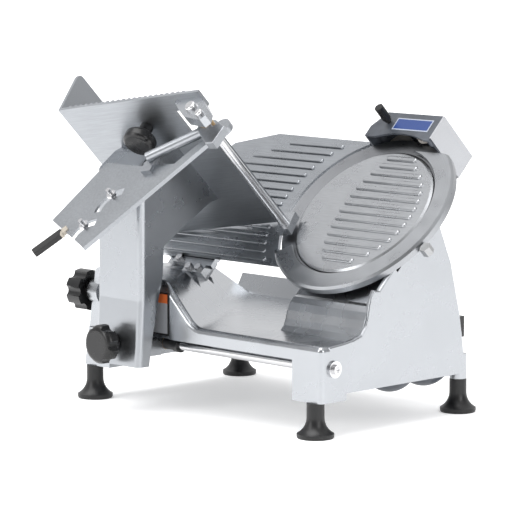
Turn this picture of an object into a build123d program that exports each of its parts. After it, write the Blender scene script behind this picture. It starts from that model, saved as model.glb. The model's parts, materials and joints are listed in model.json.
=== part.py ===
from build123d import *
import math
import os

os.makedirs("parts", exist_ok=True)

# ---------------------------------------------------------------- driving dimensions (mm)
# Drawing frame: origin on the bench between the feet, +X to the operator's right (the
# carriage side), +Y away from the operator, +Z up. The pieces are written in the row frame,
# whose origin is the bottom centre of the whole machine, at ROW_X, ROW_Y in the drawing frame.
ROW_X = 56.0
ROW_Y = 7.0
FOOT_XY = ((138.0, -210.0), (-137.0, -210.0), (138.0, 210.0), (-133.0, 210.0))
FOOT_R = 24.0

SIDE_X = 144.0            # right-hand face of the base
LEFT_X_FRONT = -148.0     # left-hand face, operator end
LEFT_X_BACK = -137.0      # left-hand face, far end
END_Y = 226.0             # half length of the base
BASE_Z = 45.0             # underside of the corner blocks
SKIRT_Z = 97.0            # lower edge of the right-hand skirt
DECK_Z = 117.5
WALL = 6.0
SILL_Z = 56.0             # lower edge of the end walls

BLADE_C = (-39.0, 125.0, 268.0)   # centre of the blade's edge plane
TILT = 45.0               # lean of the blade
BLADE_R = 125.0
COVER_R = 103.0
RING_R = 134.0
RING_IN = 107.0
RING_BACK = -8.0

TRAY_ROLL = 12.0          # the tray also falls towards its end wall
TRAY_W = 181.0            # height of the tray floor along the tray's own up axis
TRAY_NEAR = 167.5         # inner edge, 5.5 mm clear of the blade's plane
TRAY_FAR = 423.0
TRAY_END = -171.0         # end wall's outer face, along the tray
TRAY_OPEN = 48.0          # open side's edge
FLOOR_T = 4.0
WALL_H = 64.0
NOTCH_LO = 344.0          # the pusher's arm swings through this notch in the open side
NOTCH_HI = 394.0
NOTCH_EDGE = 6.0

RAIL_X = 121.0
RAIL_Z = 87.5
RAIL_R = 7.0
RUN = 0.06                # radial clearance of a running fit
GUIDE_X = 62.0
GUIDE_HALF = 6.0

RELEASE_Y = -116.0
RELEASE_Z = 91.5
ARM_Y0 = -155.0           # the carriage arm's two side faces
ARM_Y1 = -68.0
PIVOT_U = 59.0            # the pusher rod's axis in the tray frame
PIVOT_W = TRAY_W - 21.0
ROD_R = 6.0

KNOB_X = 127.0            # thickness knob
KNOB_Z = 145.0
SPINDLE_R = 5.0
LABEL_X = 139.0           # face of the recess that carries the label
DRUM_R = 62.0             # the round housing behind the blade that holds its bearings
DRUM_BACK = -80.0
LIP_OUTLINE = [(-138, 110), (-145, 110), (-162, 141), (-157, 143)]   # raised edge on the left

EDGE_R = 7.0              # rounding of the base's outer edges
GAUGE_R = 130.0           # radius of the gauge plate's hollow edge
GAUGE_T = 6.0
RIB_PITCH = 13.3

# ---------------------------------------------------------------- frames
TILT_RAD = math.radians(TILT)
ROLL_RAD = math.radians(TRAY_ROLL)
AX_Y = Vector(0, 1, 0)
AX_N = Vector(math.cos(TILT_RAD), 0, math.sin(TILT_RAD))     # square to the blade, to the carriage
AX_T = Vector(-math.sin(TILT_RAD), 0, math.cos(TILT_RAD))    # up along the blade
AX_U = AX_Y * math.cos(ROLL_RAD) + AX_T * math.sin(ROLL_RAD)  # along the tray floor
AX_W = AX_T * math.cos(ROLL_RAD) - AX_Y * math.sin(ROLL_RAD)  # square to the tray floor

# blade frame: x along the machine, y up along the blade, z towards the carriage
BLADE = Plane(origin=BLADE_C, x_dir=tuple(AX_Y), z_dir=tuple(AX_N))
# tray frame: x along the tray, y up from its floor, z outwards along the tray; shares the row origin
TRAY = Plane(origin=(0, 0, 0), x_dir=tuple(AX_U), z_dir=tuple(AX_N))
SIDE = Plane.XZ           # sketches in X and Z; extrudes towards -Y


def disc(frame, radius, low, high, inner=0.0):
    """A disc or ring along a frame's z axis, from low to high."""
    face = Circle(radius)
    if inner > 0:
        face -= Circle(inner)
    return extrude(frame.offset(low) * face, high - low)


def disc_at(frame, x, y, radius, low, high, inner=0.0):
    face = Circle(radius)
    if inner > 0:
        face -= Circle(inner)
    return extrude(frame.offset(low) * Pos(x, y) * face, high - low)


def slab(frame, x0, x1, y0, y1, z0, z1):
    """A box given by its limits in a frame."""
    centre = Pos((x0 + x1) / 2, (y0 + y1) / 2)
    return extrude(frame.offset(z0) * centre * Rectangle(x1 - x0, y1 - y0), z1 - z0)


def block(x0, x1, y0, y1, z0, z1):
    """A box given by its limits in the row frame."""
    return Pos((x0 + x1) / 2, (y0 + y1) / 2, (z0 + z1) / 2) * Box(x1 - x0, y1 - y0, z1 - z0)


def separate(shapes):
    """Solids kept apart in one node."""
    return Compound([solid for shape in shapes for solid in shape.solids()])


def side_prism(points, y0, y1):
    """A prism between two Y values on an outline of (X, Z) points."""
    outline = make_face(SIDE.offset(-y0) * Polyline(*points, close=True))
    return extrude(outline, y1 - y0, dir=(0, 1, 0))


def plan_prism(points, z0, z1):
    outline = make_face(Plane.XY.offset(z0) * Polyline(*points, close=True))
    return extrude(outline, z1 - z0, dir=(0, 0, 1))


def tray_prism(points, low, high):
    """A prism on an outline of tray-frame (x, y) points, from low to high along the tray."""
    outline = make_face(TRAY.offset(low) * Polyline(*points, close=True))
    return extrude(outline, high - low, dir=AX_N)


def y_rod(x, z, radius, y0, y1, inner=0.0):
    """A round bar along Y."""
    face = Circle(radius)
    if inner > 0:
        face -= Circle(inner)
    return extrude(Plane.XZ.offset(-y0) * Pos(x, z) * face, -(y1 - y0))


def x_rod(y, z, radius, x0, x1, inner=0.0):
    face = Circle(radius)
    if inner > 0:
        face -= Circle(inner)
    return extrude(Plane.YZ.offset(x0) * Pos(y, z) * face, x1 - x0)


def z_rod(x, y, radius, z0, z1):
    return Pos(x, y, (z0 + z1) / 2) * Cylinder(radius, z1 - z0)


def plane_of(a, b, c):
    """The plane through three points, its z axis pointing up."""
    a, b, c = Vector(*a), Vector(*b), Vector(*c)
    normal = (b - a).cross(c - a)
    if normal.Z < 0:
        normal = normal * -1
    return Plane(origin=a, z_dir=normal)


def below(solid, plane):
    return split(solid, plane, keep=Keep.BOTTOM)


# ---------------------------------------------------------------- base casting
SLOPE = plane_of((SIDE_X, -3, DECK_Z), (-149, -END_Y, 138), (SIDE_X, -62.7, 176))
TOWER_TOP = plane_of((SIDE_X, -END_Y, 181), (SIDE_X, -62.7, 175), (-48, -END_Y, 173))
TOWER_FRONT = Plane(origin=(0, -END_Y, 60), z_dir=(0, -1, 0.16))


def plan_outline(inset):
    return [
        (SIDE_X - inset, -END_Y + inset),
        (SIDE_X - inset, END_Y - inset),
        (LEFT_X_BACK + inset, END_Y - inset),
        (LEFT_X_FRONT + inset, -END_Y + inset),
    ]


def housing_outline(inset):
    """The blade motor's housing seen from the end: it rises from the deck to the blade's back."""
    return [
        (77 - inset, DECK_Z - 20),
        (75 - inset, DECK_Z),
        (69 - inset, 124),
        (65.5 - inset, 132),
        (62.5 - inset, 143),
        (58 - inset, 153),
        (51 - inset, 160 - inset * 0.7),
        (43 - inset, 162 - inset * 0.8),
        (-70 + inset * 0.4, 275 - inset * 2.2),
        (-80 + inset, 248 - inset),
        (-100 + inset, 203),
        (-117 + inset, 135),
        (-129 + inset, 70),
        (-129 + inset, DECK_Z - 60),
    ]


def end_wall_outline():
    """The far end wall stands a little proud of the housing, and curls up beside the blade."""
    return [
        (SIDE_X - 14, SILL_Z),
        (SIDE_X - 14, DECK_Z - 1),
        (102, 119),
        (84, 121.5),
        (70, 126),
        (62, 136),
        (59, 144),
        (56.5, 157),
        (53.5, 169.5),
        (47, 181),
        (37, 180),
        (-60, 276.5),
        (-74, 262),
        (-80.5, 248),
        (-100.5, 203),
        (-118, 135),
        (-131.6, 56),
    ]


def nearest_edges(solid, *points):
    """The edge whose middle lies nearest to each point."""
    return [min(solid.edges(), key=lambda e: (e.center() - Vector(*point)).length) for point in points]


def base_shell():
    """The base's outside: deck and tower as one rounded block."""
    tower = block(-140, SIDE_X, -END_Y, 32, DECK_Z - 8, 186)
    tower = below(below(tower, SLOPE), TOWER_TOP)
    shell = plan_prism(plan_outline(0), BASE_Z, DECK_Z) + tower
    shell = split(shell, TOWER_FRONT, keep=Keep.BOTTOM)
    shell = fillet(nearest_edges(shell, (3, -115, DECK_Z)), 26)
    shell = fillet(nearest_edges(shell, (57, -135, 174)), 12)
    shell = fillet(nearest_edges(shell, (SIDE_X, -140, 177), (SIDE_X, -30, 146)), EDGE_R)
    shell = fillet(nearest_edges(shell, (57, -208, 175), (SIDE_X, -216, 120)), EDGE_R)
    return fillet(nearest_edges(shell, (SIDE_X, END_Y, 80), (SIDE_X, 110, DECK_Z)), EDGE_R)


def base_casting():
    tower_core = block(-140 - WALL, SIDE_X - WALL, -END_Y + WALL, 32, DECK_Z - 20, 186)
    tower_core = below(below(tower_core, SLOPE.offset(-WALL)), TOWER_TOP.offset(-WALL))
    body = base_shell()
    housing = side_prism(housing_outline(0), 82, END_Y - 3)
    housing = fillet([e for e in housing.edges() if abs(e.center().Y - 82) < 0.1 and e.center().X > 45], 4)
    body += housing - slab(BLADE, -60, 96, -62, 120, -260, DRUM_BACK)           # clear of the drum's back
    end_wall = side_prism(end_wall_outline(), END_Y - WALL, END_Y)
    end_wall = fillet([e for e in end_wall.edges() if abs(e.center().Y - END_Y) < 0.1], 2.5)
    body += end_wall
    body += disc(BLADE, DRUM_R, DRUM_BACK, -20)
    body += side_prism(LIP_OUTLINE, -END_Y + 2, 84)
    body -= block(LABEL_X, SIDE_X + 5, -END_Y, -54, SKIRT_Z, 200)              # flat recess for the label
    body += y_rod(KNOB_X, KNOB_Z, 17, -219, -200)

    core = plan_prism(plan_outline(WALL), BASE_Z - 10, DECK_Z - WALL)
    housing_core = side_prism(housing_outline(WALL), 82 + WALL, END_Y - WALL)
    core += housing_core - slab(BLADE, -70, 96, -62 - WALL, 120, -260, DRUM_BACK + WALL)
    core += disc(BLADE, DRUM_R - WALL, DRUM_BACK - 1, -24)
    core += tower_core
    core -= block(LABEL_X - WALL, SIDE_X + 5, -END_Y, -54 + WALL, SKIRT_Z, 200)
    core = split(core, TOWER_FRONT.offset(-WALL), keep=Keep.BOTTOM)
    for y0, y1 in ((-END_Y, -174), (174, END_Y)):
        core -= block(104, SIDE_X, y0, y1, BASE_Z, DECK_Z)
    for x, y in FOOT_XY[1::2]:
        core -= z_rod(x, y, 13, BASE_Z, DECK_Z)
    body -= core

    body -= block(SIDE_X - 12, SIDE_X + 10, -174, 174, BASE_Z - 10, SKIRT_Z)    # open below the skirt
    for y0, y1 in ((-END_Y - 5, -174), (174, END_Y + 5)):
        body -= block(-170, 98, y0, y1, BASE_Z - 10, SILL_Z - 2)
    body -= block(-170, -100, -END_Y - 5, END_Y + 5, BASE_Z - 10, SILL_Z - 2)
    body -= side_prism([(-131.6, 40), (-118, 130), (-170, 130), (-170, 40)], 84, END_Y + 5)
    for x, y in FOOT_XY[1::2]:
        body += z_rod(x, y, 11.5, BASE_Z, 78)
    body -= disc(BLADE, RING_R + 2, RING_BACK - 0.5, 120)                        # seat of the ring guard
    body -= disc(BLADE, BLADE_R + 2.5, -17.5, 120)
    body -= disc(BLADE, 27, -60, 10)                                             # bearing carrier's opening
    body -= y_rod(RAIL_X, RAIL_Z, RAIL_R, -END_Y - 5, END_Y + 5)
    body -= y_rod(KNOB_X, KNOB_Z, SPINDLE_R + RUN, -END_Y - 10, -190)
    body -= gauge_guide_space()
    body -= slab(BLADE, -294, -210, -131, -95, -36, -5)                          # path of the gauge clamp
    for x in (-320, -284):
        body -= disc_at(BLADE, x, -88, 8, -82, -60)
    for x, y in FOOT_XY:
        body -= z_rod(x, y, 4.0, 30, BASE_Z + 28)
    return body


def gauge_guide_space():
    return slab(BLADE, -335, -270, -104, -72, -62, -38)


def bottom_cover():
    cover = block(-124, 30, 120, 219, 52, 54)
    for x, y, radius in ((-20, 190, 29), (-86, 190, 29)):
        cap = Pos(x, y, 38 + radius * 1.3) * Sphere(radius * 1.3)
        cover += cap & block(x - 60, x + 60, y - 60, 219, 30, 54)
    return cover


def foot(x, y):
    """A rubber foot: a straight neck that flares into a round rim, with its stud on top."""
    outline = Polyline((0, 0), (FOOT_R - 1, 0), (FOOT_R, 2), (FOOT_R, 6)) \
        + ThreePointArc((FOOT_R, 6), (15.2, 14), (11.5, 26)) \
        + Polyline((11.5, 26), (11.5, BASE_Z), (3.8, BASE_Z), (3.8, BASE_Z + 24), (0, BASE_Z + 24), (0, 0))
    return Pos(x, y, 0) * revolve(make_face(Plane.XZ * outline), Axis.Z)


PROFILE = Plane(origin=BLADE_C, x_dir=tuple(AX_Y), z_dir=tuple(AX_T * -1))
BLADE_AXIS = Axis(BLADE_C, tuple(AX_N))


def turned(points, sweep=360.0, start=0.0):
    """A turned piece on the blade's axis, from (radius, height) points."""
    face = make_face(PROFILE * Polyline(*points, close=True))
    solid = revolve(face, BLADE_AXIS, sweep)
    if start:
        solid = solid.rotate(BLADE_AXIS, start)
    return solid


def blade():
    knife = turned([
        (20, -14), (20, -10.5), (103.9, -9.5), (104.4, -2.6), (122, -1.0), (BLADE_R, -0.7),
        (BLADE_R, -1.0), (109, -9), (103, -13), (98, -14),
    ])
    for angle in (45, 135, 225, 315):
        x, y = 24.2 * math.cos(math.radians(angle)), 24.2 * math.sin(math.radians(angle))
        knife -= disc_at(BLADE, x, y, 2.55, -20, 0)
    return knife


def blade_screws():
    group = []
    for angle in (45, 135, 225, 315):
        x, y = 24.2 * math.cos(math.radians(angle)), 24.2 * math.sin(math.radians(angle))
        head = disc_at(BLADE, x, y, 3.6, -10.3, -9.0) - slab(BLADE, x - 4, x + 4, y - 0.5, y + 0.5, -9.6, -8)
        group.append(head + disc_at(BLADE, x, y, 2.5, -16.8, -10.3))
    return separate(group)


def blade_hub():
    """Hollow shaft with the flange that the blade is screwed to."""
    hub = turned([(6.0 + RUN, -17), (6.0 + RUN, -14), (28, -14), (28, -17), (12, -17), (12, -74),
                  (6.0 + RUN, -74)])
    for angle in (45, 135, 225, 315):
        x, y = 24.2 * math.cos(math.radians(angle)), 24.2 * math.sin(math.radians(angle))
        hub -= disc_at(BLADE, x, y, 2.5, -20, -10)
    return hub


def pulley(x, y, radius, bore):
    wheel = disc_at(BLADE, x, y, radius, -72, -58, bore)
    for low in (-70, -67, -64, -61):
        wheel -= disc_at(BLADE, x, y, radius + 1, low - 0.6, low + 0.6, radius - 1.2)
    return wheel


BELT_T = -106.0           # the motor's shaft lies this far down the blade's plane
PULLEY_R = 24.0
MOTOR_PULLEY_R = 15.0


def belt_loop(grow):
    pair = Circle(PULLEY_R + grow) + Pos(0, BELT_T) * Circle(MOTOR_PULLEY_R + grow)
    return make_hull(pair.edges())


def drive_belt():
    outer = extrude(BLADE.offset(-71) * belt_loop(3.2), 12)
    return outer - extrude(BLADE.offset(-71) * belt_loop(0.4), 12)


def bearing_carrier():
    body = turned([(20, -50), (20, -19), (26.7, -19), (26.7, -24.2), (40, -24.2), (40, -30),
                   (26.7, -30), (26.7, -50)])
    return body


def bearing(low):
    return disc(BLADE, 20, low, low + 12, 12 + RUN)


def motor_plate():
    """Steel plate on the bearing carrier that hangs the motor from four standoffs."""
    plate = slab(BLADE, -30, 30, BELT_T - 36, 40, -55, -50)
    plate -= disc(BLADE, 13.5, -60, -40)
    plate -= disc_at(BLADE, 0, BELT_T, 8, -60, -40)
    for dx in (-25, 25):
        for dy in (-25, 25):
            plate += disc_at(BLADE, dx, BELT_T + dy, 4, -78, -55)
    return plate


def motor():
    can = disc_at(BLADE, 0, BELT_T, 36, -138, -78)
    can += disc_at(BLADE, 0, BELT_T, 14, -78, -75, 5 + RUN)
    can -= disc_at(BLADE, 0, BELT_T, 5 + RUN, -100, -70)
    return fillet(can.edges().filter_by(GeomType.CIRCLE).group_by(SortBy.RADIUS)[-1], 4)


def motor_shaft():
    return disc_at(BLADE, 0, BELT_T, 5, -98, -57)


def rear_cover():
    cap = disc(BLADE, DRUM_R - 0.5, -92, DRUM_BACK) - disc(BLADE, DRUM_R - 4, -89, -79)
    cap = fillet(cap.faces().sort_by(Axis(BLADE_C, tuple(AX_N)))[0].edges(), 4)
    return cap - disc(BLADE, 6 + RUN, -95, -70)


def cover_knob():
    grip = disc(BLADE, 18, -112, -98) + disc(BLADE, 10, -98, -92)
    for step in range(8):
        angle = math.radians(45 * step)
        grip -= disc_at(BLADE, 20 * math.cos(angle), 20 * math.sin(angle), 5, -113, -97)
    return grip - disc(BLADE, 6, -108, -91)


def tie_rod():
    return disc(BLADE, 6, -108, -5)


def rib_rows():
    """Heights of the ribs that the gauge plate and the blade cover share."""
    return [104 - RIB_PITCH * step for step in range(16)]


def rib(x0, x1, y, low, high, width=7.5):
    bar = extrude(BLADE.offset(low) * Pos((x0 + x1) / 2, y) * SlotOverall(x1 - x0, width), high - low)
    return bar


def blade_cover():
    plate = turned([(0, -8), (0, 1.0), (100, 1.0), (COVER_R, -1.2), (COVER_R, -2.4), (98, -2.4), (96, -2.0),
                    (16, -2.0), (14, -8)])
    for y in rib_rows()[1:]:
        if abs(y) > 91:
            continue
        reach = math.sqrt(max(91 ** 2 - y ** 2, 38 ** 2))
        bar = rib(-reach * 0.45, reach * 0.97, y, 0.5, 3.3, 8.4)
        plate += fillet(bar.faces().sort_by(BLADE_AXIS)[-1].edges(), 2.5)
    for x, y in ((-86, -30), (-86, -42)):
        plate -= disc_at(BLADE, x, y, 2, 0, 3)
    return plate - disc(BLADE, 6 + RUN, -9, -4.6)


def ring_guard():
    """Guard over the part of the edge that isn't used for cutting."""
    guard = turned([
        (RING_IN, 1.3), (RING_IN + 1, 3.2), (RING_R - 3, 3.2), (RING_R, 0.2), (RING_R, RING_BACK),
        (RING_R - 4.5, RING_BACK), (RING_R - 4.5, 1.0), (126, 1.3),
    ], 218, 220)
    return guard - slab(BLADE, 0, 140, 105, 140, -20, 5)


def ring_lug():
    """Hexagonal nut that holds the ring guard from the outside."""
    angle = math.radians(-18)
    x, y = (RING_R + 8.3) * math.cos(angle), (RING_R + 8.3) * math.sin(angle)
    return extrude(BLADE.offset(-14) * Pos(x, y) * RegularPolygon(8, 6), 12)


def gauge_outline():
    sheet = make_face(Polyline((-65, 117), (-240, 118), (-312, 95), (-332, 62), (-332, -82), (-316, -102),
                               (-60, -101.5), close=True))
    ring_end = make_face(Polyline((-60, -40), (-116, -84), (-116, -120), (-50, -120), close=True))
    return sheet - Circle(GAUGE_R) - (Circle(RING_R + 1.5) & ring_end)


def gauge_plate():
    plate = extrude(BLADE.offset(-0.6 - GAUGE_T) * gauge_outline(), GAUGE_T)
    for y in rib_rows():
        right = -math.sqrt(max(149 ** 2 - y ** 2, 0))
        left = -210 - (104 - y) * 2.0
        left = max(left, -322)
        if y < -90:
            left = -312
        bar = rib(left, right, y, -1.0, 1.6)
        plate += fillet(bar.faces().sort_by(BLADE_AXIS)[-1].edges(), 1.8)
    return plate


def gauge_bracket():
    """Foot of the gauge plate: a bar across its back and the two pins that it slides on."""
    bar = slab(BLADE, -328, -214, -99, -74, -16.6, -6.6)
    for x in (-320, -284):
        bar += disc_at(BLADE, x, -88, 7, -60, -16.6)
    return bar + slab(BLADE, -290, -214, -113, -99, -15, -8) + slab(BLADE, -260, -222, -127, -113, -19, -7)


def gauge_bolts():
    group = []
    for x, y, low in ((-278, -107, -8), (-250, -120, -7), (-231, -120, -7)):
        group.append(extrude(BLADE.offset(low) * Pos(x, y) * RegularPolygon(5.5, 6), 5))
    return separate(group)


def gauge_guide():
    body = gauge_guide_space()
    for x in (-320, -284):
        body -= disc_at(BLADE, x, -88, 7 + RUN, -70, -30)
    return body


def knob_lobes(frame_x, frame_z, radius, y0, y1, lobes=7):
    grip = y_rod(frame_x, frame_z, radius, y0, y1)
    for step in range(lobes):
        angle = 2 * math.pi * step / lobes
        cx, cz = frame_x + (radius + 3) * math.cos(angle), frame_z + (radius + 3) * math.sin(angle)
        grip -= y_rod(cx, cz, 7.5, y0 - 1, y1 + 1)
    return grip


def thickness_knob():
    grip = knob_lobes(KNOB_X, KNOB_Z, 28, -250, -225) + y_rod(KNOB_X, KNOB_Z, 15, -226, -219.4)
    return grip - y_rod(KNOB_X, KNOB_Z, SPINDLE_R, -240, -214)


def index_spindle():
    return y_rod(KNOB_X, KNOB_Z, SPINDLE_R, -240, -170) + y_rod(KNOB_X, KNOB_Z, 5.9, -186, -176)


def rail_rod():
    return y_rod(RAIL_X, RAIL_Z, RAIL_R, -END_Y, END_Y)


def rail_screws():
    """Flanged cross-head screws that hold the rail rod from both ends."""
    group = []
    for low, high, cross in ((END_Y, END_Y + 3, END_Y + 5.4), (-END_Y - 3, -END_Y, -END_Y - 7.4)):
        middle = (low + high) / 2
        head = y_rod(RAIL_X, RAIL_Z, 11, low, high) + y_rod(RAIL_X, RAIL_Z, 6.5, middle - 5.5, middle + 5.5)
        head -= y_rod(RAIL_X, RAIL_Z, 12, -END_Y, END_Y)
        head -= block(RAIL_X - 4, RAIL_X + 4, cross, cross + 2, RAIL_Z - 0.7, RAIL_Z + 0.7)
        head -= block(RAIL_X - 0.7, RAIL_X + 0.7, cross, cross + 2, RAIL_Z - 4, RAIL_Z + 4)
        group.append(head)
    return separate(group)


def guide_bar():
    return block(GUIDE_X - GUIDE_HALF, GUIDE_X + GUIDE_HALF, -END_Y + WALL, END_Y - WALL,
                 RAIL_Z - GUIDE_HALF, RAIL_Z + GUIDE_HALF)


def switch_housing():
    shell = block(-140, -112, 186, 214, 100, 128)
    shell -= y_rod(-136, 114, 1.5 + RUN, 188, 212)
    shell -= block(-150, -133.4, 190, 210, 103, 125)
    return shell


def switch_rocker():
    return block(-142, -136, 190.6, 209.4, 104, 124) + y_rod(-136, 114, 1.5, 188.6, 211.4)


# ---------------------------------------------------------------- sharpener
CAP_Y0, CAP_Y1 = -62.0, 52.0
CAP_T0, CAP_T1 = 113.0, 156.0
CAP_N0, CAP_N1 = -62.0, 18.0
KNURL_Y, KNURL_T = -34.0, 139.0


def sharpener_cap():
    outline = make_face(Polyline((CAP_Y0, CAP_T0), (CAP_Y0, 130), (-46, CAP_T1), (CAP_Y1, CAP_T1),
                      (CAP_Y1, CAP_T0),
                                 close=True))
    shell = extrude(BLADE.offset(CAP_N0) * outline, CAP_N1 - CAP_N0)
    inner = make_face(Polyline((CAP_Y0 + 3, 100), (CAP_Y0 + 3, 129), (-44.4, CAP_T1 - 3),
                      (CAP_Y1 - 3, CAP_T1 - 3),
                               (CAP_Y1 - 3, 100), close=True))
    shell -= extrude(BLADE.offset(CAP_N0 + 3) * inner, CAP_N1 - CAP_N0 - 6)
    shell -= disc(BLADE, 121, 5, 30) + disc(BLADE, BLADE_R + 2, -20, 5)
    shell -= disc_at(BLADE, KNURL_Y, KNURL_T, 3 + RUN, 10, 20)
    shell -= disc_at(BLADE, -34, 129, 4 + RUN, -70, -50)
    shell -= disc_at(BLADE, 30, 134, 4 + RUN, 10, 20)
    guide = slab(BLADE, -15, 15, 117, CAP_T1 - 3, -52, -26)
    guide -= extrude(POST.offset(50) * Circle(8 + RUN), 110)
    return shell + guide - extrude(POST.offset(50) * Circle(8 + RUN), 110)


POST = Plane(origin=tuple(Vector(*BLADE_C) + AX_N * -39), x_dir=tuple(AX_Y), z_dir=tuple(AX_T))


def sharpener_post():
    return extrude(POST.offset(60) * Circle(8), 91) + slab(BLADE, -14, 14, 61.4, 80, -50, -28)


def grinding_stone():
    return disc_at(BLADE, -34, 129, 20, -25.5, -18) + disc_at(BLADE, -34, 129, 4, -61, -10)


def truing_stone():
    return disc_at(BLADE, 30, 134, 15, 3, 9) + disc_at(BLADE, 30, 134, 4, 1, 17)


def sharpener_knob():
    grip = disc_at(BLADE, KNURL_Y, KNURL_T, 6.2, 26, 48) + disc_at(BLADE, KNURL_Y, KNURL_T, 5, 22, 26)
    for step in range(12):
        angle = math.radians(30 * step)
        grip -= disc_at(BLADE, KNURL_Y + 6.6 * math.cos(angle), KNURL_T + 6.6 * math.sin(angle), 0.9, 27, 49)
    return grip + disc_at(BLADE, KNURL_Y, KNURL_T, 3, 8, 26)


def sharpener_side():
    """Light end plate of the sharpener's cover."""
    return slab(BLADE, CAP_Y1, CAP_Y1 + 2.5, CAP_T0 + 4, CAP_T1, CAP_N0, CAP_N1)


def sharpener_label():
    return slab(BLADE, -22, 42, 127, 147, CAP_N1, CAP_N1 + 0.5)


def tower_label():
    return block(LABEL_X, LABEL_X + 0.6, -104, -61, 101, 158)


# ---------------------------------------------------------------- carriage
def carriage_foot():
    body = block(104, 131, -172, -84, 73, 103)
    body += block(131, 172, -150, -84, 72, 94)
    body += block(48, 104, -150, -104, 74, 101)
    body -= y_rod(RAIL_X, RAIL_Z, 9, -180, -70)
    body -= block(GUIDE_X - 8, GUIDE_X + 8, -160, -90, RAIL_Z - 8, RAIL_Z + 8)
    return body


def foot_bushings():
    return separate([y_rod(RAIL_X, RAIL_Z, 9, -172, -152, RAIL_R + RUN),
                              y_rod(RAIL_X, RAIL_Z, 9, -104, -84, RAIL_R + RUN)])


def guide_shoe():
    gap = GUIDE_HALF + 0.1
    shoe = block(GUIDE_X - 8, GUIDE_X + 8, -150, -104, RAIL_Z - 8, RAIL_Z + 8)
    return shoe - block(GUIDE_X - gap, GUIDE_X + gap, -160, -90, RAIL_Z - gap, RAIL_Z + gap)


def bumper():
    ring = y_rod(RAIL_X, RAIL_Z, 10.5, -65, -56, RAIL_R + 0.3)
    return ring + y_rod(RAIL_X, RAIL_Z, 8.6, -84, -65, RAIL_R + 0.3)


FLOOR_UNDER = Plane(origin=tuple(AX_W * (TRAY_W - FLOOR_T)), z_dir=tuple(AX_W))


def arm_outline(inset):
    """The arm seen from the end; the points run up its front, along the tray and down its back."""
    return [
        (188 - inset, 62 + inset),
        (182.5 - inset, 150),
        (182 - inset, 318 - inset * 0.4),
        (148 - inset * 0.6, 342),
        (118, 352),
        (20, 280),
        (56 + inset * 0.8, 272),
        (106 + inset * 0.7, 243 + inset * 0.8),
        (141 + inset, 220 + inset * 0.6),
        (143 + inset, 181),
        (149 + inset, 158),
        (156 + inset, 128),
        (161 + inset, 105),
        (167 + inset, 70 + inset),
        (168 + inset, 62 + inset),
    ]


def carriage_arm():
    arm = side_prism(arm_outline(0), ARM_Y0, ARM_Y1)
    front = [e for e in arm.edges() if e.center().X > 180 and e.center().Z > 160 and e.length > 80]
    arm = fillet(front, 8)
    arm = below(arm, FLOOR_UNDER)
    hollow = below(side_prism(arm_outline(6), ARM_Y0 - 5, ARM_Y1 - 6), FLOOR_UNDER.offset(-5))
    arm -= hollow
    return arm - x_rod(RELEASE_Y, RELEASE_Z, 5 + RUN, 160, 200)


def release_knob():
    grip = x_rod(RELEASE_Y, RELEASE_Z, 26, 202, 219) + x_rod(RELEASE_Y, RELEASE_Z, 12, 187.8, 202)
    grip = fillet(grip.edges().filter_by(GeomType.CIRCLE).group_by(Axis.X)[-1], 8)
    for step in range(6):
        angle = math.radians(60 * step)
        y, z = RELEASE_Y + 31 * math.cos(angle), RELEASE_Z + 31 * math.sin(angle)
        grip -= x_rod(y, z, 9, 196, 225)
    return grip + x_rod(RELEASE_Y, RELEASE_Z, 5, 180, 190)


def tray():
    low = TRAY_W - FLOOR_T
    floor = slab(TRAY, TRAY_END, TRAY_OPEN, low, TRAY_W, TRAY_NEAR, TRAY_FAR)
    floor += slab(TRAY, TRAY_OPEN, 64, low, TRAY_W, 396, TRAY_FAR)
    for step in range(22):
        u = -158 + 9.2 * step
        floor += slab(TRAY, u, u + 4.2, TRAY_W, TRAY_W + 1.8, TRAY_NEAR, TRAY_FAR)
    floor += slab(TRAY, TRAY_OPEN - 3, TRAY_OPEN, low - 8, low, TRAY_NEAR, NOTCH_LO)
    wall = slab(TRAY, TRAY_END - FLOOR_T, TRAY_END, low, TRAY_W + WALL_H, TRAY_NEAR, TRAY_FAR)
    corners = wall.edges().filter_by(Axis((0, 0, 0), tuple(AX_U))).group_by(Axis((0, 0, 0), tuple(AX_W)))[-1]
    floor += fillet(corners, 9)
    floor -= slab(TRAY, NOTCH_EDGE, 80, low - 20, TRAY_W + 20, NOTCH_LO, NOTCH_HI)
    return floor


def tray_knob():
    frame = Plane(origin=tuple(AX_U * -55 + AX_N * 373 + AX_W * (TRAY_W - FLOOR_T - 0.4)), x_dir=tuple(AX_N),
                  z_dir=tuple(AX_W * -1))
    knob = extrude(frame * Circle(9), 16) + extrude(frame.offset(16) * Circle(22), 18)
    return fillet(knob.edges().filter_by(GeomType.CIRCLE).group_by(SortBy.RADIUS)[-1], 6)


def corner_bracket():
    """Bracket under the tray's outer corner that holds the far end of the pusher's rod."""
    under = TRAY_W - FLOOR_T
    outline = [(20, under), (64, under), (84, 154), (87, 141), (81, 134), (52, 143), (36, 157), (24, 170)]
    body = tray_prism(outline, 399, 414)
    body = fillet(body.edges().filter_by(Axis((0, 0, 0), tuple(AX_N))), 2.5)
    return body - disc_at(TRAY, PIVOT_U, PIVOT_W, ROD_R, 390, 420)


def corner_bolts():
    group = []
    for u, w, radius in ((56.0, 159.0, 8.0), (76.0, 145.0, 5.5)):
        bolt = disc_at(TRAY, u, w, radius, 414, 420)
        group.append(fillet(bolt.edges().group_by(Axis((0, 0, 0), tuple(AX_N)))[-1], 3))
    return separate(group)


def rod_block():
    body = slab(TRAY, TRAY_OPEN, 68, 151, TRAY_W, TRAY_NEAR + 0.5, 180)
    return body - disc_at(TRAY, PIVOT_U, PIVOT_W, ROD_R, 160, 190)


def pusher_rod():
    return disc_at(TRAY, PIVOT_U, PIVOT_W, ROD_R, TRAY_NEAR + 0.5, 414)


def pusher_sleeve():
    return disc_at(TRAY, PIVOT_U, PIVOT_W, 9, 354, 386, ROD_R + RUN)


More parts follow.
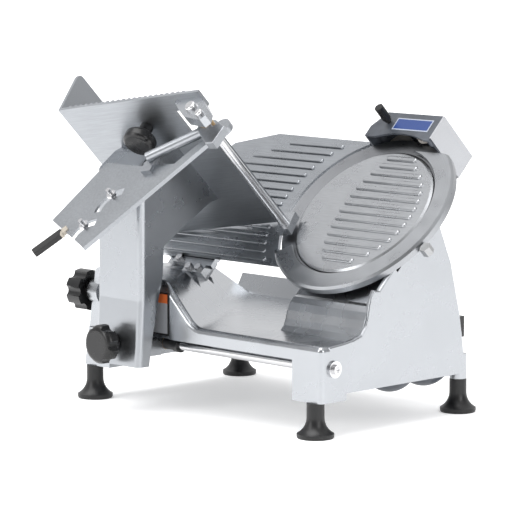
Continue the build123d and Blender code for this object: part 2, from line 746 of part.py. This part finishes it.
ARM_START = (61.0, 137.0)
ARM_END = (-68.0, -25.0)
SLOT_CENTRES = ((-43.0, 36.0), (-65.5, -14.0))


def along_arm(distance, side):
    """A tray-frame point a distance along the pusher's arm and some way to its plate side."""
    du, dw = ARM_END[0] - ARM_START[0], ARM_END[1] - ARM_START[1]
    length = math.hypot(du, dw)
    du, dw = du / length, dw / length
    return (ARM_START[0] + du * distance + dw * side, ARM_START[1] + dw * distance - du * side)


def pusher_arm():
    """Cast lever: the fork that turns on the rod's sleeve and the bars that reach under the tray."""
    fork = [(50, 168), (57, 168), (74, 151.5), (82, 157), (95, 149), (88, 121), (75, 122), (48, 150)]
    lever = tray_prism(fork, 372, 384)
    lever = fillet(lever.edges().group_by(Axis((0, 0, 0), tuple(AX_N)))[-1], 1.5)
    lever += disc_at(TRAY, PIVOT_U, PIVOT_W, 13, 356, 374)
    lever += disc_at(TRAY, 75, 163, 12.5, 362, 371)
    lever += tray_prism([(60, 150), (75, 150), (75, 163), (60, 163)], 362, 374)
    outline = [along_arm(2, -6.5), along_arm(209, -6.5), along_arm(209, 6.5), along_arm(2, 6.5)]
    lever += tray_prism(outline, 366, 372)
    start = AX_U * -18 + AX_W * 111 + AX_N * 381
    end = AX_U * 56 + AX_W * 151 + AX_N * 377
    lever += extrude(Plane(origin=tuple(start), z_dir=tuple(end - start)) * Circle(7), (end - start).length)
    lever += tray_prism([(-24, 92), (-8, 92), (-8, 122), (-24, 108)], 369.5, 376)
    return lever - disc_at(TRAY, PIVOT_U, PIVOT_W, 9 + RUN, 350, 390)


def pusher_plate():
    """Plate of the pusher, with the two curved slots its clamp pins run in."""
    outline = [along_arm(209, 6.5), (-147.5, 27), (-99.5, 122), along_arm(84, 60), along_arm(46, 6.5)]
    plate = tray_prism(outline, 366, 369.5)
    for u, w in SLOT_CENTRES:
        slot = disc_at(TRAY, u, w, 35, 360, 375, 24)
        plate -= slot & tray_prism([(u, w), (u - 2, w + 60), (u - 60, w + 60), (u - 60, w - 6)], 360, 375)
    return plate


def pusher_pins():
    group = []
    for u, w in SLOT_CENTRES:
        u, w = u - 17.5, w + 24.5
        nut = extrude(TRAY.offset(369.5) * Pos(u, w) * RegularPolygon(7, 6), 4)
        group.append(nut + disc_at(TRAY, u, w, 3.2, 366, 381))
    return separate(group)


def grip_part(u0, w0, u1, w1, radius):
    start = AX_U * u0 + AX_W * w0 + AX_N * 368
    along = AX_U * (u1 - u0) + AX_W * (w1 - w0)
    return extrude(Plane(origin=tuple(start), z_dir=tuple(along)) * RegularPolygon(radius, 6), along.length)


def pusher_grip():
    grip = grip_part(-119, 4, -152, -28, 7.0)
    grip = fillet(grip.edges().filter_by(GeomType.LINE), 0.8)
    return grip + grip_part(-112.5, 10.3, -119, 4, 5.6)



base = base_casting()
arm = carriage_arm()
parts = {
    "base_casting": base,
    "bottom_cover": bottom_cover() - base,
    "rail_rod": rail_rod(),
    "rail_screws": rail_screws(),
    "guide_bar": guide_bar() - base,
    "bearing_carrier": bearing_carrier(),
    "bearing_front": bearing(-32),
    "bearing_rear": bearing(-50),
    "motor_plate": motor_plate(),
    "motor": motor(),
    "drive_belt": drive_belt(),
    "rear_cover": rear_cover(),
    "tie_rod": tie_rod(),
    "cover_knob": cover_knob(),
    "blade_cover": blade_cover(),
    "ring_guard": ring_guard(),
    "ring_nut": ring_lug(),
    "gauge_guide": gauge_guide(),
    "switch_housing": (switch_housing() - base).solids().sort_by(Axis.X)[0],
    "sharpener_post": sharpener_post() - base,
    "tower_label": tower_label(),
    "blade": blade(),
    "blade_screws": blade_screws(),
    "blade_hub": blade_hub(),
    "blade_pulley": pulley(0, 0, PULLEY_R, 12),
    "motor_pulley": pulley(0, BELT_T, MOTOR_PULLEY_R, 5),
    "motor_shaft": motor_shaft(),
    "gauge_plate": gauge_plate(),
    "gauge_bracket": gauge_bracket(),
    "gauge_bolts": gauge_bolts(),
    "thickness_knob": thickness_knob(),
    "index_spindle": index_spindle(),
    "switch_rocker": switch_rocker(),
    "sharpener_cap": sharpener_cap(),
    "sharpener_label": sharpener_label(),
    "sharpener_side": sharpener_side(),
    "grinding_stone": grinding_stone(),
    "truing_stone": truing_stone(),
    "sharpener_knob": sharpener_knob(),
    "carriage_foot": carriage_foot() - arm,
    "foot_bushings": foot_bushings(),
    "guide_shoe": guide_shoe(),
    "bumper": bumper(),
    "carriage_arm": arm,
    "release_knob": release_knob(),
    "tray": tray(),
    "tray_knob": tray_knob(),
    "corner_bracket": corner_bracket(),
    "rod_block": rod_block(),
    "pusher_rod": pusher_rod(),
    "pusher_sleeve": pusher_sleeve(),
    "pusher_arm": pusher_arm(),
    "pusher_plate": pusher_plate(),
    "pusher_pins": pusher_pins(),
    "pusher_grip": pusher_grip() - pusher_plate(),
    "corner_bolts": corner_bolts(),
}
for place, (x, y) in zip(("near_right", "near_left", "far_right", "far_left"), FOOT_XY):
    parts[f"foot_{place}"] = foot(x, y)

for name, shape in parts.items():
    export_step(Pos(-ROW_X, -ROW_Y, 0) * shape, f"parts/{name}.step")
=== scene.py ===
import json
import math

import bpy
from mathutils import Matrix, Vector


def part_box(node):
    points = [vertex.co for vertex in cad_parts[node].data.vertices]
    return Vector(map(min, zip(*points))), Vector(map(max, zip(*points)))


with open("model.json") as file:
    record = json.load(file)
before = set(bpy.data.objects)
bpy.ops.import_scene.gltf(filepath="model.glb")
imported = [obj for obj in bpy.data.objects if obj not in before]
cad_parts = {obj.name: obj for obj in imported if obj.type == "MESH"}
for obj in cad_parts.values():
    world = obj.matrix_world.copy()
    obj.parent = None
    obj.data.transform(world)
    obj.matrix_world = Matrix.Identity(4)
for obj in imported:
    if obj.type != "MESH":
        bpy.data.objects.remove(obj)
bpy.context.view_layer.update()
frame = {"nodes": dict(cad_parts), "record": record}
NODES = frame["nodes"]

# ---------------------------------------------------------------- frames
# The CAD's drawing frame has its origin between the feet; the row frame's is shifted by ROW.
ROW = Vector((0.056, 0.007, 0.0))
R2 = math.sqrt(0.5)
ROLL = math.radians(12.0)
AX_Y = Vector((0, 1, 0))
AX_N = Vector((R2, 0, R2))
AX_T = Vector((-R2, 0, R2))
AX_U = AX_Y * math.cos(ROLL) + AX_T * math.sin(ROLL)
AX_W = AX_T * math.cos(ROLL) - AX_Y * math.sin(ROLL)
BLADE_C = Vector((-0.039, 0.125, 0.268)) - ROW


def axes_matrix(x_axis, y_axis, z_axis, origin=(0, 0, 0)):
    m = Matrix((x_axis, y_axis, z_axis)).transposed().to_4x4()
    m.translation = Vector(origin)
    return m


BLADE_EULER = axes_matrix(AX_Y, AX_T, AX_N).to_euler()
TRAY_EULER = axes_matrix(AX_U, AX_W, AX_N).to_euler()


# ---------------------------------------------------------------- materials
class Nodes:
    """A small builder for one material's node tree."""

    def __init__(self, name, color, metallic, roughness):
        self.mat = bpy.data.materials.new(name)
        self.mat.use_nodes = True
        self.tree = self.mat.node_tree
        self.shader = self.tree.nodes["Principled BSDF"]
        self.shader.inputs["Base Color"].default_value = (*color, 1)
        self.shader.inputs["Metallic"].default_value = metallic
        self.shader.inputs["Roughness"].default_value = roughness
        self.coords = self.tree.nodes.new("ShaderNodeTexCoord").outputs["Object"]

    def link(self, a, b):
        self.tree.links.new(a, b)

    def mapped(self, scale, rotation=(0, 0, 0), location=(0, 0, 0)):
        """Object coordinates moved to the axes given by rotation, then stretched."""
        turn = self.tree.nodes.new("ShaderNodeMapping")
        turn.vector_type = "TEXTURE"
        turn.inputs["Rotation"].default_value = rotation
        turn.inputs["Location"].default_value = location
        self.link(self.coords, turn.inputs["Vector"])
        size = self.tree.nodes.new("ShaderNodeMapping")
        size.inputs["Scale"].default_value = scale
        self.link(turn.outputs["Vector"], size.inputs["Vector"])
        return size.outputs["Vector"]

    def noise(self, vector, scale, detail=4.0, roughness=0.55):
        n = self.tree.nodes.new("ShaderNodeTexNoise")
        n.inputs["Scale"].default_value = scale
        n.inputs["Detail"].default_value = detail
        n.inputs["Roughness"].default_value = roughness
        self.link(vector, n.inputs["Vector"])
        return n.outputs["Fac"]

    def spread(self, value, low, high, from_low=0.3, from_high=0.7):
        m = self.tree.nodes.new("ShaderNodeMapRange")
        m.inputs["From Min"].default_value = from_low
        m.inputs["From Max"].default_value = from_high
        m.inputs["To Min"].default_value = low
        m.inputs["To Max"].default_value = high
        self.link(value, m.inputs["Value"])
        return m.outputs["Result"]

    def tint(self, factor, dark, light):
        mix = self.tree.nodes.new("ShaderNodeMix")
        mix.data_type = "RGBA"
        mix.inputs["A"].default_value = (*dark, 1)
        mix.inputs["B"].default_value = (*light, 1)
        self.link(factor, mix.inputs["Factor"])
        return mix.outputs["Result"]

    def color(self, factor, dark, light):
        self.link(self.tint(factor, dark, light), self.shader.inputs["Base Color"])

    def rough(self, value, low, high):
        self.link(self.spread(value, low, high), self.shader.inputs["Roughness"])

    def bump(self, height, strength, distance):
        b = self.tree.nodes.new("ShaderNodeBump")
        b.inputs["Strength"].default_value = strength
        b.inputs["Distance"].default_value = distance
        self.link(height, b.inputs["Height"])
        self.link(b.outputs["Normal"], self.shader.inputs["Normal"])


def brushed(name, color, rough, rotation, stretch, depth=0.00004, location=(0, 0, 0)):
    """Metal ground in one direction: long fine scratches across a slow cloudiness."""
    m = Nodes(name, color, 1.0, rough)
    lines = m.noise(m.mapped(stretch, rotation, location), 1.0, 5.0, 0.6)
    cloud = m.noise(m.mapped((1, 1, 1)), 22.0, 3.0)
    dark = [c * 0.88 for c in color]
    light = [min(1.0, c * 1.07) for c in color]
    m.color(m.spread(lines, 0, 1), dark, light)
    m.rough(cloud, rough - 0.03, rough + 0.04)
    m.bump(lines, 0.12, depth)
    return m.mat


def cast(name, color, rough):
    """Polished sand casting: soft hand-polishing marks and a fine stretched grain."""
    m = Nodes(name, color, 1.0, rough)
    cloud = m.noise(m.mapped((1, 1, 1)), 14.0, 4.0)
    grain = m.noise(m.mapped((260, 60, 260)), 1.0, 5.0, 0.6)
    m.color(m.spread(cloud, 0, 1), [c * 0.94 for c in color], [min(1, c * 1.05) for c in color])
    m.rough(cloud, rough - 0.03, rough + 0.05)
    m.bump(grain, 0.03, 0.00004)
    return m.mat


def turned(name, color, rough, rotation, centre):
    """Metal with circular machining marks about an axis."""
    m = Nodes(name, color, 1.0, rough)
    v = m.mapped((1, 1, 1), rotation, centre)
    split = m.tree.nodes.new("ShaderNodeSeparateXYZ")
    m.link(v, split.inputs["Vector"])
    flat = m.tree.nodes.new("ShaderNodeCombineXYZ")
    m.link(split.outputs["X"], flat.inputs["X"])
    m.link(split.outputs["Y"], flat.inputs["Y"])
    length = m.tree.nodes.new("ShaderNodeVectorMath")
    length.operation = "LENGTH"
    m.link(flat.outputs["Vector"], length.inputs[0])
    ring = m.tree.nodes.new("ShaderNodeTexNoise")
    ring.noise_dimensions = "1D"
    ring.inputs["Scale"].default_value = 1500.0
    ring.inputs["Detail"].default_value = 3.0
    m.link(length.outputs["Value"], ring.inputs["W"])
    cloud = m.noise(m.mapped((1, 1, 1)), 30.0, 3.0)
    m.color(m.spread(ring.outputs["Fac"], 0, 1), [c * 0.9 for c in color], [min(1, c * 1.05) for c in color])
    m.rough(cloud, rough - 0.05, rough + 0.06)
    m.bump(ring.outputs["Fac"], 0.12, 0.00003)
    return m.mat


def plastic(name, color, rough, grain=0.15):
    """Moulded plastic: a fine texture and slightly rubbed patches."""
    m = Nodes(name, color, 0.0, rough)
    cloud = m.noise(m.mapped((1, 1, 1)), 40.0, 4.0)
    fine = m.noise(m.mapped((1, 1, 1)), 2200.0, 2.0)
    m.color(m.spread(cloud, 0, 1), [c * 0.8 for c in color], [min(1, c * 1.35 + 0.004) for c in color])
    m.rough(cloud, rough - 0.08, rough + 0.08)
    m.bump(fine, grain, 0.00006)
    return m.mat


CAST = cast("cast_aluminium", (0.42, 0.435, 0.455), 0.26)
ARM = cast("arm_casting", (0.38, 0.395, 0.415), 0.27)
PLATE = brushed("brushed_plate", (0.34, 0.355, 0.375), 0.28, BLADE_EULER, (40, 900, 900))
COVER = brushed("cover_plate", (0.40, 0.41, 0.425), 0.28, BLADE_EULER, (40, 900, 900))
TRAY = brushed("tray_sheet", (0.36, 0.375, 0.395), 0.36, TRAY_EULER, (30, 900, 900))
LEVER = brushed("lever_plate", (0.36, 0.375, 0.395), 0.30, TRAY_EULER, (300, 300, 900))
KNIFE = turned("knife_steel", (0.20, 0.205, 0.215), 0.30, BLADE_EULER, BLADE_C)
RING = turned("ring_aluminium", (0.35, 0.36, 0.375), 0.30, BLADE_EULER, BLADE_C)
STEEL = cast("plain_steel", (0.38, 0.385, 0.39), 0.30)
BRIGHT = brushed("bright_steel", (0.66, 0.66, 0.67), 0.16, (0, 0, 0), (900, 60, 900), 0.00002)
SIDE_PLATE = brushed("cap_side", (0.50, 0.51, 0.53), 0.34, BLADE_EULER, (40, 900, 900))
DARK = plastic("dark_paint", (0.060, 0.068, 0.082), 0.34, 0.1)
BLACK = plastic("black_plastic", (0.004, 0.004, 0.0045), 0.30)
RUBBER = plastic("rubber", (0.004, 0.004, 0.0045), 0.42)
NYLON = plastic("nylon", (0.75, 0.75, 0.70), 0.45)
BRONZE = cast("bronze", (0.50, 0.34, 0.18), 0.35)
GRIT = plastic("abrasive", (0.30, 0.28, 0.26), 0.85, 0.8)


def printed(name, rotation, location, paint_by_area, ground, rough=0.34):
    """A blank printed film: rectangles of flat ink, each given by its limits in the label's own axes."""
    m = Nodes(name, ground, 0.0, rough)
    split = m.tree.nodes.new("ShaderNodeSeparateXYZ")
    m.link(m.mapped((1, 1, 1), rotation, location), split.inputs["Vector"])
    grain = m.spread(m.noise(m.mapped((1, 1, 1)), 300.0, 3.0), 0.0, 1.0)
    under = m.tint(grain, [c * 0.9 for c in ground], ground)
    for (first, low_1, high_1), (second, low_2, high_2), ink in paint_by_area:
        inside = None
        for axis, low, high in ((first, low_1, high_1), (second, low_2, high_2)):
            near = m.tree.nodes.new("ShaderNodeMath")
            near.operation = "COMPARE"
            near.inputs[1].default_value = (low + high) / 2
            near.inputs[2].default_value = (high - low) / 2
            m.link(split.outputs[axis], near.inputs[0])
            if inside is None:
                inside = near.outputs["Value"]
            else:
                both = m.tree.nodes.new("ShaderNodeMath")
                both.operation = "MULTIPLY"
                m.link(inside, both.inputs[0])
                m.link(near.outputs["Value"], both.inputs[1])
                inside = both.outputs["Value"]
        layer = m.tree.nodes.new("ShaderNodeMix")
        layer.data_type = "RGBA"
        layer.inputs["B"].default_value = (*ink, 1)
        m.link(inside, layer.inputs["Factor"])
        m.link(under, layer.inputs["A"])
        under = layer.outputs["Result"]
    m.link(under, m.shader.inputs["Base Color"])
    return m.mat


LABEL_LOW, LABEL_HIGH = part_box("tower_label")
NAME_Y0, NAME_Y1 = -0.022, 0.042       # the blue label's limits in the blade frame
NAME_T0, NAME_T1 = 0.127, 0.147
NAME_BORDER = 0.0016
BORDER = 0.0022                        # the warning label's black edge
BAND = 0.012                           # and its orange top band
FERRULE_U = -0.1175                    # the grip is pale from here inwards, along the tray


def label_area(low_z, high_z, ink):
    return (("Y", LABEL_LOW[1] + BORDER, LABEL_HIGH[1] - BORDER), ("Z", low_z, high_z), ink)


WARNING = printed("label_warning", (0, 0, 0), (0, 0, 0), [
    label_area(LABEL_LOW[2] + BORDER, LABEL_HIGH[2] - BORDER - BAND, (0.30, 0.31, 0.33)),
    label_area(LABEL_HIGH[2] - BORDER - BAND, LABEL_HIGH[2] - BORDER, (0.62, 0.13, 0.03)),
], (0.01, 0.01, 0.01))
BLUE = printed("label_blue", BLADE_EULER, BLADE_C, [
    (("X", NAME_Y0 + NAME_BORDER, NAME_Y1 - NAME_BORDER),
     ("Y", NAME_T0 + NAME_BORDER, NAME_T1 - NAME_BORDER),
     (0.012, 0.045, 0.20)),
], (0.42, 0.46, 0.55))
GRIP = printed("grip", TRAY_EULER, -ROW, [
    (("X", FERRULE_U, -0.10), ("Y", -0.1, 0.1), (0.42, 0.38, 0.32)),
], (0.004, 0.004, 0.0045), 0.38)

FINISH = {
    "cast_aluminium": CAST,
    "brushed_aluminium": PLATE,
    "stainless": STEEL,
    "bright_steel": BRIGHT,
    "dark_steel": DARK,
    "black_plastic": BLACK,
    "rubber": RUBBER,
    "nylon": NYLON,
    "bronze": BRONZE,
    "label_blue": BLUE,
    "label_warning": WARNING,
    "abrasive": GRIT,
}
SPECIAL = {
    "blade": KNIFE,
    "carriage_arm": ARM,
    "blade_cover": COVER,
    "ring_guard": RING,
    "tray": TRAY,
    "pusher_arm": LEVER,
    "pusher_plate": LEVER,
    "pusher_grip": GRIP,
    "sharpener_side": SIDE_PLATE,
}


def paint(obj, mat):
    obj.data.materials.clear()
    obj.data.materials.append(mat)


for row in frame["record"]["subparts"]:
    paint(NODES[row["node"]], SPECIAL.get(row["node"], FINISH[row["material_slot"]]))

# ---------------------------------------------------------------- camera
AZIMUTH = math.radians(135.42)
ELEVATION = math.radians(7.22)
back = Vector((
    math.sin(AZIMUTH) * math.cos(ELEVATION),
    -math.cos(AZIMUTH) * math.cos(ELEVATION),
    math.sin(ELEVATION),
))
right = Vector((math.cos(AZIMUTH), math.sin(AZIMUTH), 0))
up = back.cross(right)
camera = bpy.data.objects.new("camera", bpy.data.cameras.new("camera"))
camera.data.sensor_width = 36.0
camera.data.lens = 209.1
camera.data.clip_end = 30.0
place = right * -0.02618 + up * 0.19929 + back * 4.0116 - ROW
camera.matrix_world = axes_matrix(right, up, back, place)
bpy.context.scene.collection.objects.link(camera)
bpy.context.scene.camera = camera

# ---------------------------------------------------------------- studio
world = bpy.data.worlds.new("studio")
world.use_nodes = True
sky = world.node_tree
direction = sky.nodes.new("ShaderNodeTexCoord").outputs["Generated"]


def sky_node(kind, **inputs):
    """A world node with its constants and links set by socket name."""
    node = sky.nodes.new(kind)
    for name, value in inputs.items():
        socket = node.inputs[name.replace("_", " ")]
        if isinstance(value, bpy.types.NodeSocket):
            sky.links.new(value, socket)
        else:
            socket.default_value = value
    return node


def sky_blend(factor, low, high):
    mix = sky.nodes.new("ShaderNodeMix")
    mix.data_type = "RGBA"
    sky.links.new(factor, mix.inputs["Factor"])
    for name, value in (("A", low), ("B", high)):
        if isinstance(value, bpy.types.NodeSocket):
            sky.links.new(value, mix.inputs[name])
        else:
            mix.inputs[name].default_value = (value, value, value * 1.01, 1)
    return mix.outputs["Result"]


# A white backdrop, dimmer behind the viewer, with a bright soft panel overhead.
toward = sky.nodes.new("ShaderNodeVectorMath")
toward.operation = "DOT_PRODUCT"
toward.inputs[1].default_value = (0.70, 0.71, 0.0)
sky.links.new(direction, toward.inputs[0])
split = sky.nodes.new("ShaderNodeSeparateXYZ")
sky.links.new(direction, split.inputs["Vector"])
behind = sky_node("ShaderNodeMapRange", Value=toward.outputs["Value"], From_Min=-0.75, From_Max=0.25)
above = sky_node("ShaderNodeMapRange", Value=split.outputs["Z"], From_Min=0.55, From_Max=0.85)
shade = sky_blend(behind.outputs["Result"], 1.05, 0.42)
tone = sky_blend(above.outputs["Result"], shade, 0.95)
sky.links.new(tone, sky.nodes["Background"].inputs["Color"])
bpy.context.scene.world = world
bpy.context.scene.view_settings.view_transform = "Standard"

floor_mesh = bpy.data.meshes.new("floor")
SIZE = 12.0
corners = [(-SIZE, -SIZE, 0), (SIZE, -SIZE, 0), (SIZE, SIZE, 0), (-SIZE, SIZE, 0)]
floor_mesh.from_pydata(corners, [], [(0, 1, 2, 3)])
floor = bpy.data.objects.new("floor", floor_mesh)
bpy.context.scene.collection.objects.link(floor)
floor_look = Nodes("floor", (0.97, 0.97, 0.97), 0.0, 0.9)
floor_look.shader.inputs["Emission Color"].default_value = (1, 1, 1, 1)
floor_look.shader.inputs["Emission Strength"].default_value = 0.35
floor_mesh.materials.append(floor_look.mat)


def area_light(name, place, size, power, aim=(0, 0, 0.18)):
    lamp = bpy.data.lights.new(name, "AREA")
    lamp.shape = "RECTANGLE"
    lamp.size, lamp.size_y = size
    lamp.energy = power
    obj = bpy.data.objects.new(name, lamp)
    obj.location = place
    obj.rotation_euler = (Vector(aim) - Vector(place)).to_track_quat("-Z", "Y").to_euler()
    bpy.context.scene.collection.objects.link(obj)


sun = bpy.data.lights.new("sun", "SUN")
sun.energy = 1.9
sun.angle = math.radians(50.0)
sun_object = bpy.data.objects.new("sun", sun)
sun_object.rotation_euler = (math.radians(8.0), math.radians(12.0), 0)
bpy.context.scene.collection.objects.link(sun_object)
area_light("right_light", (2.2, -0.6, 1.2), (0.9, 1.6), 18.0)
area_light("left_light", (0.2, 2.4, 1.0), (0.9, 1.6), 16.0)
